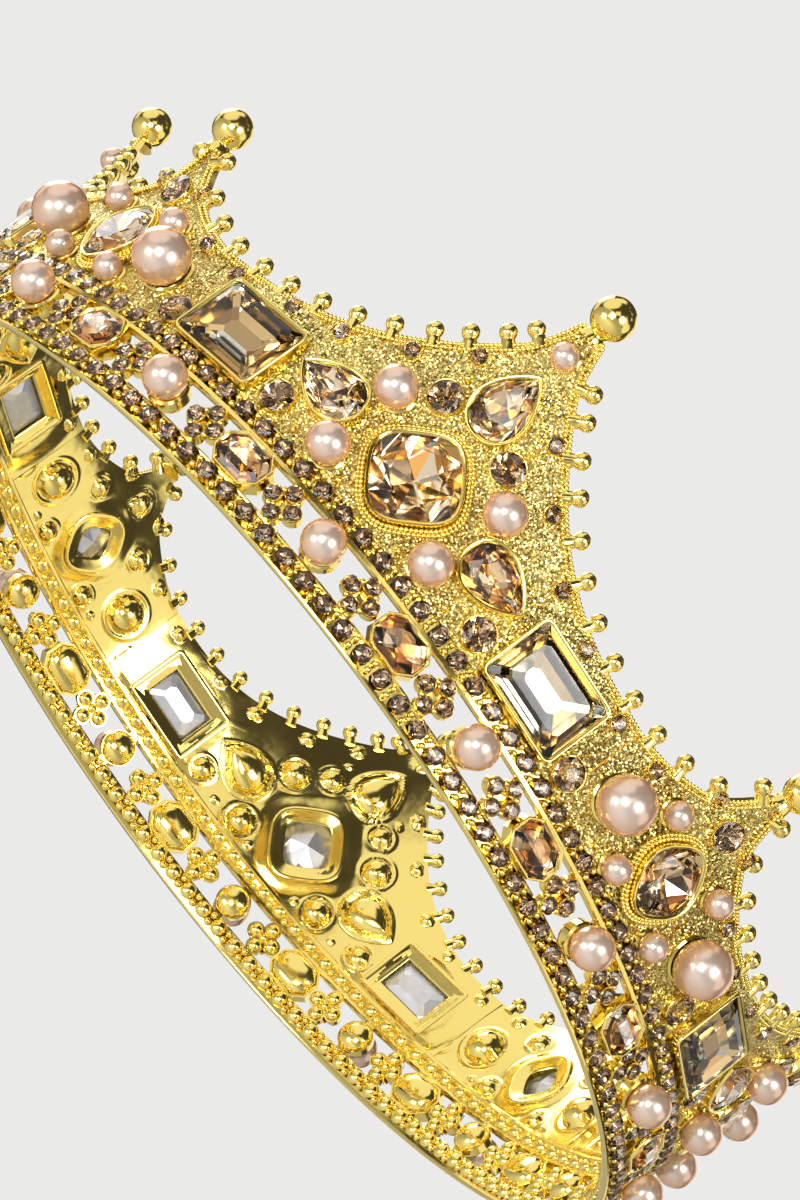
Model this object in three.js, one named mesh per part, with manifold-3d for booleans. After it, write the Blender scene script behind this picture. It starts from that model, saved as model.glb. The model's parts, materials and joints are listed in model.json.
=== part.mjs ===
// A round costume crown of gold-plated castings set with foiled crystals and imitation pearls.
// Millimetres, +Z up. The origin is the centre of the crown at the plane of its bottom edge.
// Four quarter castings make the openwork band, and above it four tall major points alternate
// with four low minor points. The first major point faces -Y.
import * as THREE from "three";
import { mergeVertices } from "three/addons/utils/BufferGeometryUtils.js";
import Module from "manifold-3d";

const wasm = await Module();
wasm.setup();

// ---- driving dimensions ----
const WALL_RADIUS = 77.5; // outer face of the wall, and so of the band
const QUARTERS = 4;
const QUARTER_LENGTH = (2 * Math.PI * WALL_RADIUS) / QUARTERS; // along the outer face
const MINOR_AXIS = QUARTER_LENGTH / 2; // from a major point's axis to its minor point's axis
const WALL = 1.4;
const PLATE_ROWS = 5; // facets of a plate from its foot to its edge
const SEAM = 0.1; // soldered gap between two castings
const FIT = 0.12; // clearance of a stone in its pocket

// band
const RAIL_LOW = [0, 3.5];
const RAIL_HIGH = [9.4, 12.4];
const RAIL_OUT = 0.5; // rails stand proud of the wall
const RAIL_IN = 1.3;
const RIDGE = { depth: 0.9, height: 0.8 }; // ledge along the top of the high rail, inside the crown
const CUP_BACK = -1; // faces of the pierced cups, from the wall's outer face
const CUP_FACE = 0.6;
const CLUSTER_FACE = 0.3;
const GALLERY_MID = 6.45;
const MOTIFS_PER_QUARTER = 16; // pearl, cluster, octagon, cluster, and so on
const PEARL_CUP_R = 3.5;
const OCTAGON = { w: 8.3, h: 6.6, cut: 1.7 };
const CLUSTER_REACH = 3.5; // from a cluster's middle to the corners of its four lobes

// plates
const PLATE_BOTTOM = RAIL_HIGH[1] + SEAM;
const VALLEY = 26.3; // height of the edge between two points
const PLATE_SPLIT = 42.4; // along the wall, from a major axis to its plate's side seam
const LEAN_START = 20; // the points flare outwards above this height
// The edge falls from a point's top to the valley as rise * (1 - distance / reach) ^ fall, and
// near the top the neck adds its own rise. The wall leans out by lean * (height over start) ^ 2.
const MAJOR = { rise: 22.5, reach: 40, fall: 2.43, neckRise: 8, neckReach: 5, top: 49.4, flat: 1.8, lean: 0.0079 };
const MINOR = { rise: 8.1, reach: 18.4, fall: 2, neckRise: 6.5, neckReach: 6, top: 37.6, flat: 1.2, lean: 0.012 };

// stones: half sizes of the girdle, and heights over and under it
const CUSHION = { half: 5.85, corner: 3.4, crown: 1.5, pavilion: 2.9, table: 0.62, culet: 0.3 };
const SMALL_CUSHION = { half: 4.6, corner: 3.0, crown: 1.4, pavilion: 2.7, table: 0.62, culet: 0.3 };
const PEAR = { length: 10.2, width: 7.3, crown: 1.3, pavilion: 2.2, table: 0.55, culet: 0.25 };
const STEP_CUT = { w: 14, h: 10.2, cut: 0.9, crown: 1.4, pavilion: 2.8, table: 0.6, culet: 0.42 };
const GIRDLE = 0.3; // thickness of every stone's rim
const GIRDLE_OVER_WALL = 1.4; // how far a stone's rim stands over the wall's face
const BEZEL = 0.45; // wall of a stone's collar
const BEZEL_OVER_GIRDLE = 0.25;
const COLLAR_BACK = 0.72; // a collar's size behind the wall, as a share of its front
const WINDOW_RIM = 0.3; // an open collar stands this far out of the wall's back
const FLOOR = 0.6; // metal under the culet of a stone in a blind collar

const BIG_PEARL_R = 4;
const SMALL_PEARL_R = 1.9;
const PEARL_SEAT = 0.8; // height of the boss under a pearl
const PEARL_GAP = 0.1; // glue under a pearl
const PEARL_FLAT = 0.62; // from a pearl's centre to its flat back, as a share of its radius
const FINIAL_R = 2.75;
const MINOR_FINIAL_R = 2.7;
const STEM = { height: 0.25, radius: 0.8 }; // of a finial, under its ball
const BIG_PEARL_AWAY = 13.5; // from the minor axis
const BIG_PEARL_Z = 19;
const TIP_PEARL_Z = 45.2;

// ---- colours ----
const gold = new THREE.MeshStandardMaterial({ color: 0xe9b83c, metalness: 1, roughness: 0.25 });
const champagne = new THREE.MeshStandardMaterial({ color: 0xe2b48c, metalness: 0, roughness: 0.05 });
const blush = new THREE.MeshStandardMaterial({ color: 0xf3d3c6, metalness: 0, roughness: 0.2 });

// ---- solids ----
function solid(geometry) {
  const g = geometry.clone();
  g.deleteAttribute("normal");
  g.deleteAttribute("uv");
  const merged = mergeVertices(g, 1e-4);
  return new wasm.Manifold(
    new wasm.Mesh({
      numProp: 3,
      vertProperties: new Float32Array(merged.attributes.position.array),
      triVerts: new Uint32Array(merged.index.array),
    }),
  );
}

function geometryOf(made) {
  const mesh = made.getMesh();
  const g = new THREE.BufferGeometry();
  g.setAttribute("position", new THREE.BufferAttribute(new Float32Array(mesh.vertProperties), 3));
  g.setIndex(new THREE.BufferAttribute(new Uint32Array(mesh.triVerts), 1));
  g.computeVertexNormals();
  return g;
}

const join = (list) => list.reduce((a, b) => a.add(b));

// ---- places on the wall ----
// along: distance round the outer face from the first major axis, seen from outside, to the right.
const angleAt = (along) => -Math.PI / 2 + along / WALL_RADIUS;

// The wall is upright up to the valley and flares outwards towards the tips.
const wallRadius = (z, lean) => WALL_RADIUS + lean * Math.max(0, z - LEAN_START) ** 2;
const wallSlope = (z, lean) => 2 * lean * Math.max(0, z - LEAN_START);

// A frame on the wall's outer face: x to the right, y up the wall, z out of it.
function onWall(along, z, { lean = 0, turn = 0 } = {}) {
  const a = angleAt(along);
  const outward = new THREE.Vector3(Math.cos(a), Math.sin(a), 0);
  const right = new THREE.Vector3(-Math.sin(a), Math.cos(a), 0);
  const up = new THREE.Vector3(0, 0, 1).addScaledVector(outward, wallSlope(z, lean)).normalize();
  const r = wallRadius(z, lean);
  return new THREE.Matrix4()
    .makeBasis(right, up, right.clone().cross(up))
    .setPosition(r * outward.x, r * outward.y, z)
    .multiply(new THREE.Matrix4().makeRotationZ(turn));
}

// A solid between two radii and two heights: heights are functions of the distance along.
function wallStrip(stops, low, high, outer, inner, rows) {
  const grid = [];
  for (const face of [outer, inner])
    for (const s of stops)
      for (let j = 0; j <= rows; j++) {
        const z = low(s) + ((high(s) - low(s)) * j) / rows;
        const r = face(z);
        grid.push(r * Math.cos(angleAt(s)), r * Math.sin(angleAt(s)), z);
      }
  const n = stops.length;
  const at = (face, i, j) => (face * n + i) * (rows + 1) + j;
  const index = [];
  const quad = (a, b, c, d) => index.push(a, b, c, a, c, d);
  for (let i = 0; i < n - 1; i++) {
    for (let j = 0; j < rows; j++) {
      quad(at(0, i, j), at(0, i + 1, j), at(0, i + 1, j + 1), at(0, i, j + 1));
      quad(at(1, i, j), at(1, i, j + 1), at(1, i + 1, j + 1), at(1, i + 1, j));
    }
    quad(at(0, i, rows), at(0, i + 1, rows), at(1, i + 1, rows), at(1, i, rows));
    quad(at(0, i, 0), at(1, i, 0), at(1, i + 1, 0), at(0, i + 1, 0));
  }
  for (let j = 0; j < rows; j++) {
    quad(at(0, 0, j), at(0, 0, j + 1), at(1, 0, j + 1), at(1, 0, j));
    quad(at(0, n - 1, j), at(1, n - 1, j), at(1, n - 1, j + 1), at(0, n - 1, j + 1));
  }
  const g = new THREE.BufferGeometry();
  g.setAttribute("position", new THREE.Float32BufferAttribute(grid, 3));
  g.setIndex(index);
  return solid(g);
}

// ---- outlines, as lists of points about the stone's own centre ----
function cushionOutline({ half, corner }, grow = 0) {
  const points = [];
  for (let side = 0; side < 4; side++)
    for (const step of [0.12, 0.88]) {
      const a = (side + step) * (Math.PI / 2);
      const c = side * (Math.PI / 2) + Math.PI / 4;
      const inset = (half - corner) * Math.SQRT2;
      points.push([
        Math.cos(c) * inset + Math.cos(a) * (corner + grow),
        Math.sin(c) * inset + Math.sin(a) * (corner + grow),
      ]);
    }
  return points;
}

// A round end below and a point above, from one half circle and two straight flanks.
function pearOutline({ length, width }, grow = 0) {
  const r = width / 2 + grow;
  const points = [];
  for (let i = 0; i <= 5; i++) {
    const a = Math.PI + (i * Math.PI) / 5;
    points.push([r * Math.cos(a), r * Math.sin(a)]);
  }
  const tip = length - width / 2 + grow;
  points.push([r * 0.76, tip * 0.5], [r * 0.12, tip * 0.97], [-r * 0.12, tip * 0.97], [-r * 0.76, tip * 0.5]);
  const shift = (length - width) / 2; // centres the stone on its middle
  return points.map(([x, y]) => [x, y - shift]);
}

function cutOutline({ w, h, cut }, grow = 0) {
  const x = w / 2 + grow;
  const y = h / 2 + grow;
  return [
    [x, -y + cut], [x, y - cut], [x - cut, y], [-x + cut, y],
    [-x, y - cut], [-x, -y + cut], [-x + cut, -y], [x - cut, -y],
  ];
}

// A solid through copies of an outline: each level is [height, scale].
function loft(outline, levels) {
  const n = outline.length;
  const position = [];
  for (const [z, k] of levels) for (const [x, y] of outline) position.push(x * k, y * k, z);
  position.push(0, 0, levels[0][0], 0, 0, levels[levels.length - 1][0]);
  const bottom = levels.length * n;
  const index = [];
  for (let i = 0; i < n; i++) {
    const next = (i + 1) % n;
    for (let l = 0; l < levels.length - 1; l++) {
      const [a, b, c, d] = [l * n + i, l * n + next, (l + 1) * n + next, (l + 1) * n + i];
      index.push(a, b, c, a, c, d);
    }
    index.push(bottom, next, i);
    index.push(bottom + 1, (levels.length - 1) * n + i, (levels.length - 1) * n + next);
  }
  const g = new THREE.BufferGeometry();
  g.setAttribute("position", new THREE.Float32BufferAttribute(position, 3));
  g.setIndex(index);
  return g;
}

// ---- stones in pockets ----
// The stone's heights are over the wall's face.
function stoneGeometry(outline, cut) {
  return loft(outline, [
    [GIRDLE_OVER_WALL - cut.pavilion, cut.culet],
    [GIRDLE_OVER_WALL, 1],
    [GIRDLE_OVER_WALL + GIRDLE, 1],
    [GIRDLE_OVER_WALL + GIRDLE + cut.crown, cut.table],
  ]);
}

// What the casting gains and loses for one stone: a collar with a blind or open pocket.
function setting(makeOutline, cut, open) {
  const top = GIRDLE_OVER_WALL + GIRDLE + BEZEL_OVER_GIRDLE;
  const back = open ? -WALL - WINDOW_RIM : GIRDLE_OVER_WALL - cut.pavilion - FLOOR;
  const collar = loft(makeOutline(cut, BEZEL), [[back, COLLAR_BACK], [0, 1], [top, 1]]);
  const floor = GIRDLE_OVER_WALL - cut.pavilion - FIT;
  const levels = [[floor, cut.culet + 0.03], [GIRDLE_OVER_WALL - FIT, 1], [top + 1, 1]];
  if (open) levels.unshift([back - 1, cut.culet + 0.03]);
  return { collar: solid(collar), pocket: solid(loft(makeOutline(cut, FIT), levels)) };
}

const QUARTER_TURN = Math.PI / 2;
const PEAR_STONE = { outline: pearOutline, cut: PEAR, open: false };
const STEP_STONE = { outline: cutOutline, cut: STEP_CUT, open: true, turn: 0 };
const majorStones = [
  { name: "cushion_stone", along: 0, z: 21.3, turn: Math.PI / 4, outline: cushionOutline, cut: CUSHION, open: true },
  { name: "top_pear_stone", along: 0, z: 36.1, turn: 0, ...PEAR_STONE },
  { name: "left_pear_stone", along: -15.9, z: 21.1, turn: QUARTER_TURN, ...PEAR_STONE },
  { name: "right_pear_stone", along: 15.9, z: 21.1, turn: -QUARTER_TURN, ...PEAR_STONE },
  { name: "left_step_stone", along: -30.3, z: 18.4, ...STEP_STONE },
  { name: "right_step_stone", along: 30.3, z: 18.4, ...STEP_STONE },
];
const minorStones = [
  {
    name: "small_cushion_stone",
    along: MINOR_AXIS,
    z: 20,
    turn: Math.PI / 4,
    outline: cushionOutline,
    cut: SMALL_CUSHION,
    open: true,
  },
];

// ---- pearls and finials ----
// A pearl with a flat ground on its back, standing on a boss.
function pearlGeometry(r) {
  const start = Math.asin(-PEARL_FLAT);
  const profile = [new THREE.Vector2(0, -r * PEARL_FLAT)];
  const steps = 4;
  for (let i = 0; i <= steps; i++) {
    const a = start + ((Math.PI / 2 - start) * i) / steps;
    profile.push(new THREE.Vector2(i === steps ? 0 : r * Math.cos(a), r * Math.sin(a)));
  }
  return new THREE.LatheGeometry(profile, 10)
    .rotateX(Math.PI / 2)
    .translate(0, 0, PEARL_SEAT + PEARL_GAP + r * PEARL_FLAT);
}

function finialGeometry(r) {
  const profile = [new THREE.Vector2(0, -r - STEM.height), new THREE.Vector2(STEM.radius, -r - STEM.height)];
  const start = -Math.acos(STEM.radius / r);
  const steps = 5;
  for (let i = 0; i <= steps; i++) {
    const a = start + ((Math.PI / 2 - start) * i) / steps;
    profile.push(new THREE.Vector2(i === steps ? 0 : r * Math.cos(a), r * Math.sin(a)));
  }
  return new THREE.LatheGeometry(profile, 8);
}

function boss(radius, from, to, sides = 8) {
  return new THREE.CylinderGeometry(radius, radius, to - from, sides)
    .rotateX(Math.PI / 2)
    .translate(0, 0, (from + to) / 2);
}

// ---- the scalloped edge of the points ----
// Height of the edge at a distance from a point's axis.
function edgeHeight(away, point) {
  const sweep = point.rise * Math.max(0, 1 - Math.abs(away) / point.reach) ** point.fall;
  const neck = point.neckRise * Math.max(0, 1 - Math.abs(away) / point.neckReach) ** 2;
  return Math.min(point.top, VALLEY + sweep + neck);
}

// Distances from the axis, closer together towards the neck, out to a limit.
function edgeStops(point, limit, steps) {
  const stops = [];
  for (let i = 0; i <= steps; i++) stops.push(point.flat + (limit - point.flat) * (i / steps) ** 1.5);
  return [...stops.map((d) => -d).reverse(), ...stops];
}

// One plate casting: wall, bosses for the stones and pearls; less the pockets.
function plate(point, axis, limit, columns, stones, seats) {
  const stops = edgeStops(point, limit - SEAM / 2, columns).map((s) => axis + s);
  const added = [
    wallStrip(
      stops,
      () => PLATE_BOTTOM,
      (s) => edgeHeight(s - axis, point),
      (z) => wallRadius(z, point.lean),
      (z) => wallRadius(z, point.lean) - WALL,
      PLATE_ROWS,
    ),
  ];
  const cuts = [];
  for (const s of stones) {
    const { collar, pocket } = setting(s.outline, s.cut, s.open);
    const { elements } = onWall(s.along, s.z, { lean: point.lean, turn: s.turn });
    added.push(collar.transform(elements));
    cuts.push(pocket.transform(elements));
  }
  for (const [along, z, r] of seats) {
    const seat = boss(r, -WALL / 2, PEARL_SEAT);
    added.push(solid(seat.applyMatrix4(onWall(along, z, { lean: point.lean }))));
  }
  return join(added).subtract(join(cuts));
}

// ---- the band ----
// Four lobes joined by straight flanks: a cross with its waists filled.
function clusterOutline() {
  const points = [];
  for (let lobe = 0; lobe < 4; lobe++) {
    const c = lobe * QUARTER_TURN;
    for (const a of [c - 0.26, c + 0.26]) points.push([CLUSTER_REACH * Math.cos(a), CLUSTER_REACH * Math.sin(a)]);
  }
  return points;
}

function extruded(points, from, to) {
  const shape = new THREE.Shape(points.map(([x, y]) => new THREE.Vector2(x, y)));
  return new THREE.ExtrudeGeometry(shape, { depth: to - from, bevelEnabled: false }).translate(0, 0, from);
}

// A quarter starts and ends midway between two motifs.
function bandQuarter() {
  const columns = 16;
  const pitch = QUARTER_LENGTH / MOTIFS_PER_QUARTER;
  const start = (SEAM - pitch) / 2;
  const stops = [];
  for (let i = 0; i <= columns; i++) stops.push(start + ((QUARTER_LENGTH - SEAM) * i) / columns);
  const rail = ([low, high], depth) =>
    wallStrip(stops, () => low, () => high, () => WALL_RADIUS + RAIL_OUT, () => WALL_RADIUS - depth, 1);
  const ridge = [RAIL_HIGH[1] - RIDGE.height, RAIL_HIGH[1]];
  const made = [rail(RAIL_LOW, RAIL_IN), rail(RAIL_HIGH, RAIL_IN), rail(ridge, RAIL_IN + RIDGE.depth)];
  for (let i = 0; i < MOTIFS_PER_QUARTER; i++) {
    const frame = onWall(i * pitch, GALLERY_MID);
    const kind = i % 4;
    let cup;
    if (kind === 0) cup = boss(PEARL_CUP_R, CUP_BACK, CUP_FACE);
    else if (kind === 2) cup = extruded(cutOutline(OCTAGON), CUP_BACK, CUP_FACE);
    else cup = extruded(clusterOutline(), CUP_BACK, CLUSTER_FACE);
    made.push(solid(cup.applyMatrix4(frame)));
  }
  return join(made);
}

// ---- assembly ----
const crown = new THREE.Group();

function addQuarterSet(name, geometry, material) {
  for (let q = 0; q < QUARTERS; q++) {
    const mesh = new THREE.Mesh(geometry, material);
    mesh.name = `${name}_${q + 1}`;
    mesh.rotation.z = (q * 2 * Math.PI) / QUARTERS;
    crown.add(mesh);
  }
}

// Seats of pearls: [distance from the first major axis, height, radius of the boss].
const majorSeats = [
  [-10.3, 27, 2.3], [10.3, 27, 2.3], [-9.7, 15.4, 2.3], [9.7, 15.4, 2.3],
  [0, TIP_PEARL_Z, 1.5],
];
const bigPearls = [
  ["left_pearl", MINOR_AXIS - BIG_PEARL_AWAY],
  ["right_pearl", MINOR_AXIS + BIG_PEARL_AWAY],
];
const minorSeats = [
  [bigPearls[0][1], BIG_PEARL_Z, 3.1], [bigPearls[1][1], BIG_PEARL_Z, 3.1],
  [MINOR_AXIS - 7.3, 25, 1.5], [MINOR_AXIS + 7.3, 25, 1.5],
  [MINOR_AXIS - 6.5, 14.3, 1.5], [MINOR_AXIS + 6.5, 14.3, 1.5],
];

const majorPlate = plate(MAJOR, 0, PLATE_SPLIT, 8, majorStones, majorSeats);
const minorPlate = plate(MINOR, MINOR_AXIS, MINOR_AXIS - PLATE_SPLIT, 5, minorStones, minorSeats);
addQuarterSet("gallery_band", geometryOf(bandQuarter()), gold);
addQuarterSet("major_plate", geometryOf(majorPlate), gold);
addQuarterSet("minor_plate", geometryOf(minorPlate), gold);
for (const [point, stones] of [[MAJOR, majorStones], [MINOR, minorStones]])
  for (const s of stones) {
    const frame = onWall(s.along, s.z, { lean: point.lean, turn: s.turn });
    addQuarterSet(s.name, stoneGeometry(s.outline(s.cut), s.cut).applyMatrix4(frame), champagne);
  }
for (const [name, along] of bigPearls)
  addQuarterSet(name, pearlGeometry(BIG_PEARL_R).applyMatrix4(onWall(along, BIG_PEARL_Z)), blush);
const tipFrame = onWall(0, TIP_PEARL_Z, { lean: MAJOR.lean });
addQuarterSet("tip_pearl", pearlGeometry(SMALL_PEARL_R).applyMatrix4(tipFrame), blush);

// A finial stands on the neck of its point, in the middle of the wall, and leans with it.
function finialOn(point, axis, r) {
  return finialGeometry(r)
    .translate(0, SEAM + r + STEM.height, -WALL / 2)
    .applyMatrix4(onWall(axis, point.top, { lean: point.lean }));
}
addQuarterSet("major_finial", finialOn(MAJOR, 0, FINIAL_R), gold);
addQuarterSet("minor_finial", finialOn(MINOR, MINOR_AXIS, MINOR_FINIAL_R), gold);

export default crown;
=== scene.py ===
import json
import math

import bmesh
import bpy
import numpy as np
from mathutils import Matrix, Vector

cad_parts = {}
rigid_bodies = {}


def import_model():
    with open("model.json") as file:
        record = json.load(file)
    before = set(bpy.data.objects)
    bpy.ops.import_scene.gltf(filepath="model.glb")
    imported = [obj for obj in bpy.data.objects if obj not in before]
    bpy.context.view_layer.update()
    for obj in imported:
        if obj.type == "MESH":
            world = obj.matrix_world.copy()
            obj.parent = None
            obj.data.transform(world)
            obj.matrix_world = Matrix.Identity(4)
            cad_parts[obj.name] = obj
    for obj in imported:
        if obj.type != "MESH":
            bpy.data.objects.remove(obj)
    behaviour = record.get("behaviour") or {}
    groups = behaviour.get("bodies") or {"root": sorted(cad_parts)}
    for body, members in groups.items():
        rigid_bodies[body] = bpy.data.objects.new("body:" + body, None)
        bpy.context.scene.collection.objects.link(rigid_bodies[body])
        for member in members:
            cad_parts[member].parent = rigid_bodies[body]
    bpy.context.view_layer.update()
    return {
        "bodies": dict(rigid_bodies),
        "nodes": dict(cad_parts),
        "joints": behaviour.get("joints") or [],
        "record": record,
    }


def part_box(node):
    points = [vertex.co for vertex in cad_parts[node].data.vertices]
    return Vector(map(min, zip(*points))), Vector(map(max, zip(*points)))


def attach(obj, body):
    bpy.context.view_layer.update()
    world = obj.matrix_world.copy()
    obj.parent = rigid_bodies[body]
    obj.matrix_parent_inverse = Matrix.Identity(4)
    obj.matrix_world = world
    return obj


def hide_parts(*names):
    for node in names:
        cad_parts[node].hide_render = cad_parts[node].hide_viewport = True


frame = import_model()

# ---- Studio ----
# A product shot from a little below the rim, rolled so that the points lean to the right. Three
# large soft lamps stand round the camera, a fourth lights the far side, and the room is pale with
# a few dark openings, which is what gives polished gold its dark streaks.
MM = 0.001
view_aim = Vector((-5.44, -3.01, 33.71)) * MM
view_distance = 612.5 * MM
view_side, view_rise, view_roll = math.radians(12.373), math.radians(-17.288), math.radians(53.548)

camera_back = Vector((
    math.sin(view_side) * math.cos(view_rise),
    -math.cos(view_side) * math.cos(view_rise),
    math.sin(view_rise),
))
level_right = Vector((math.cos(view_side), math.sin(view_side), 0))
level_up = camera_back.cross(level_right)
camera_right = level_right * math.cos(view_roll) + level_up * math.sin(view_roll)
camera_up = level_up * math.cos(view_roll) - level_right * math.sin(view_roll)
camera_turn = Matrix((camera_right, camera_up, camera_back)).transposed()

lens = bpy.data.cameras.new("camera")
lens.lens, lens.sensor_width, lens.sensor_fit = 130.61, 36, "AUTO"
lens.clip_start, lens.clip_end = 0.02, 40
camera = bpy.data.objects.new("camera", lens)
camera.matrix_world = Matrix.Translation(view_aim + camera_back * view_distance) @ camera_turn.to_4x4()
bpy.context.scene.collection.objects.link(camera)
bpy.context.scene.camera = camera
bpy.context.scene.view_settings.view_transform = "Standard"


def soft_lamp(name, right, up, back, size, watts):
    """A square lamp at a place given in the camera's own directions, in metres from the crown."""
    lamp = bpy.data.lights.new(name, "AREA")
    lamp.size, lamp.energy = size, watts
    made = bpy.data.objects.new(name, lamp)
    away = camera_right * right + camera_up * up + camera_back * back
    facing = away.to_track_quat("Z", "Y").to_matrix().to_4x4()
    made.matrix_world = Matrix.Translation(view_aim + away) @ facing
    bpy.context.scene.collection.objects.link(made)


soft_lamp("lamp_middle", -0.12, 0.22, 0.92, 0.38, 3.2)
soft_lamp("lamp_left", -0.66, 0.20, 0.62, 0.34, 2.7)
soft_lamp("lamp_right", 0.60, -0.08, 0.78, 0.40, 4.6)
soft_lamp("lamp_behind", -0.2, 0.9, -0.7, 0.6, 5.0)

room = bpy.data.worlds.new("room")
bpy.context.scene.world = room
room.use_nodes = True
nodes, links = room.node_tree.nodes, room.node_tree.links
nodes.clear()


def preset(node, values):
    """Gives values to a node's own sockets."""
    for name, value in values.items():
        node.inputs[name].default_value = value


def wire(link, *wires):
    """Links nodes; a wire is (from, its output, to, its input)."""
    for source, out, target, into in wires:
        link(source.outputs[out], target.inputs[into])


direction, openings = nodes.new("ShaderNodeTexCoord"), nodes.new("ShaderNodeTexNoise")
preset(openings, {"Scale": 1.7, "Detail": 1.0})
walls = nodes.new("ShaderNodeValToRGB")
dark_opening, pale_wall = (0.06, 0.055, 0.05, 1), (1.0, 0.99, 0.97, 1)
dark_stop, pale_stop = walls.color_ramp.elements
dark_stop.position, dark_stop.color = 0.46, dark_opening
pale_stop.position, pale_stop.color = 0.53, pale_wall
wire(links.new, (direction, "Generated", openings, "Vector"), (openings, "Fac", walls, "Fac"))


def spread(new, link, value, given, wanted=(0, 1)):
    """A value mapped from one range to another."""
    made = new("ShaderNodeMapRange")
    preset(made, dict(zip(("From Min", "From Max", "To Min", "To Max"), (*given, *wanted))))
    link(value, made.inputs["Value"])
    return made.outputs["Result"]


def toward(x, y, z, edge, full):
    """A soft round patch of the room in one direction: 1 inside, 0 outside, by the cosine."""
    dot = nodes.new("ShaderNodeVectorMath")
    dot.operation = "DOT_PRODUCT"
    dot.inputs[1].default_value = Vector((x, y, z)).normalized()
    links.new(direction.outputs["Generated"], dot.inputs[0])
    return spread(nodes.new, links.new, dot.outputs["Value"], (edge, full))


def painted(under, patch, colour):
    """The room with another colour over one patch of it."""
    over = nodes.new("ShaderNodeMix")
    over.data_type = "RGBA"
    over.inputs["B"].default_value = colour
    links.new(patch, over.inputs["Factor"])
    links.new(under, over.inputs["A"])
    return over.outputs["Result"]


lit = painted(walls.outputs["Color"], toward(-0.76, -0.50, 0.42, 0.80, 0.88), pale_wall)
lit = painted(lit, toward(0.18, -0.68, 0.71, 0.91, 0.945), dark_opening)
lit = painted(lit, toward(0.38, -0.79, 0.48, 0.955, 0.98), dark_opening)
room_light, backdrop = nodes.new("ShaderNodeBackground"), nodes.new("ShaderNodeBackground")
links.new(lit, room_light.inputs["Color"])
preset(backdrop, {"Color": (0.83, 0.825, 0.815, 1)})
seen, blend = nodes.new("ShaderNodeLightPath"), nodes.new("ShaderNodeMixShader")
output = nodes.new("ShaderNodeOutputWorld")
wire(links.new, (seen, "Is Camera Ray", blend, "Fac"), (room_light, 0, blend, 1),
     (backdrop, 0, blend, 2), (blend, 0, output, "Surface"))


def new_finish(name):
    """A material with its shader, and what makes and links its nodes."""
    made = bpy.data.materials.new(name)
    made.use_nodes = True
    tree = made.node_tree
    return made, tree.nodes["Principled BSDF"], tree.nodes.new, tree.links.new


floor_reach, floor_level = 4, -0.6
floor_corners = [
    (x * floor_reach, y * floor_reach, floor_level) for x, y in ((-1, -1), (1, -1), (1, 1), (-1, 1))
]
floor_mesh = bpy.data.meshes.new("floor")
floor_mesh.from_pydata(floor_corners, [], [(0, 1, 2, 3)])
floor = bpy.data.objects.new("floor", floor_mesh)
bpy.context.scene.collection.objects.link(floor)
floor_paper, shader, _, _ = new_finish("floor_paper")
preset(shader, {"Base Color": (0.84, 0.84, 0.83, 1), "Roughness": 0.9})
preset(shader, {"Emission Color": (1, 1, 1, 1), "Emission Strength": 0.05})
floor_mesh.materials.append(floor_paper)

# ---- Band rails ----
# The band is cast in quarters in a gold-plated alloy and soldered into a ring. Each quarter has a
# low and a high rail with a trough for small stones, polished lips, and a ledge inside the top.
wall_r = 77.5  # outer face of the wall
lean_start = 20  # height from which the points flare outwards
quarter = wall_r * math.pi / 2  # length of a quarter along the wall
motifs_per_quarter = 16
pitch = quarter / motifs_per_quarter  # from one motif of the band to the next
band_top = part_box("gallery_band_1")[1].z / MM


class Workpiece:
    """Corners in millimetres, faces and material slots of one piece while it is made."""

    def __init__(self):
        self.corners, self.faces, self.slots = [], [], []

    def add(self, shape, place=None):
        """Adds a shape of corners and faces, in the place that a matrix gives."""
        corners, faces = shape
        if place is not None:
            corners = placed(corners, place)
        start = len(self.corners)
        self.corners.extend(tuple(c) for c in corners)
        self.faces.extend([start + i for i in face] for face in faces)
        self.slots.extend([0] * len(faces))

    def mesh(self, name, materials, sharp=40):
        made = bpy.data.meshes.new(name)
        made.from_pydata((np.array(self.corners) * MM).tolist(), [], self.faces)
        for material in materials:
            made.materials.append(material)
        made.polygons.foreach_set("material_index", self.slots)
        made.polygons.foreach_set("use_smooth", [True] * len(self.faces))
        made.set_sharp_from_angle(angle=math.radians(sharp))
        made.update()
        return made


def show(name, mesh, slot, *nodes):
    """Adds a finished piece to the crown, with the CAD nodes that it stands for."""
    piece = bpy.data.objects.new(name, mesh)
    bpy.context.scene.collection.objects.link(piece)
    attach(piece, "root")
    if nodes:
        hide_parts(*nodes)


def quarter_turn(count):
    return Matrix.Rotation(count * math.pi / 2, 4, "Z")


def show_quarters(name, mesh, slot, node=None):
    """Shows a piece and its three copies a quarter turn apart."""
    for q in range(4):
        copy = mesh.copy()
        copy.transform(quarter_turn(q))
        show(f"{name}_{q + 1}", copy, slot, *([f"{node}_{q + 1}"] if node else []))


def angle_at(along):
    """The angle round the crown, from a distance along the wall."""
    return -math.pi / 2 + along / wall_r


def wall_radius(z, lean=0):
    """The wall's outer face at a height: upright, then flaring outwards."""
    return wall_r + lean * np.maximum(0, z - lean_start) ** 2


def on_wall(along, z, turn=0, out=0, lean=0):
    """A frame on the wall: x to the right, y up the wall, z out of it."""
    a = angle_at(along)
    level = Vector((math.cos(a), math.sin(a), 0))
    right = Vector((-math.sin(a), math.cos(a), 0))
    up = (level * 2 * lean * max(0, z - lean_start) + Vector((0, 0, 1))).normalized()
    outward = right.cross(up)
    base = Matrix((right, up, outward)).transposed().to_4x4()
    place = level * float(wall_radius(z, lean)) + Vector((0, 0, z)) + outward * out
    return Matrix.Translation(place) @ base @ Matrix.Rotation(turn, 4, "Z")


def placed(corners, matrix):
    """Corners of a shape put in place by a matrix."""
    m = np.array(matrix)
    return np.asarray(corners, float) @ m[:3, :3].T + m[:3, 3]


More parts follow.
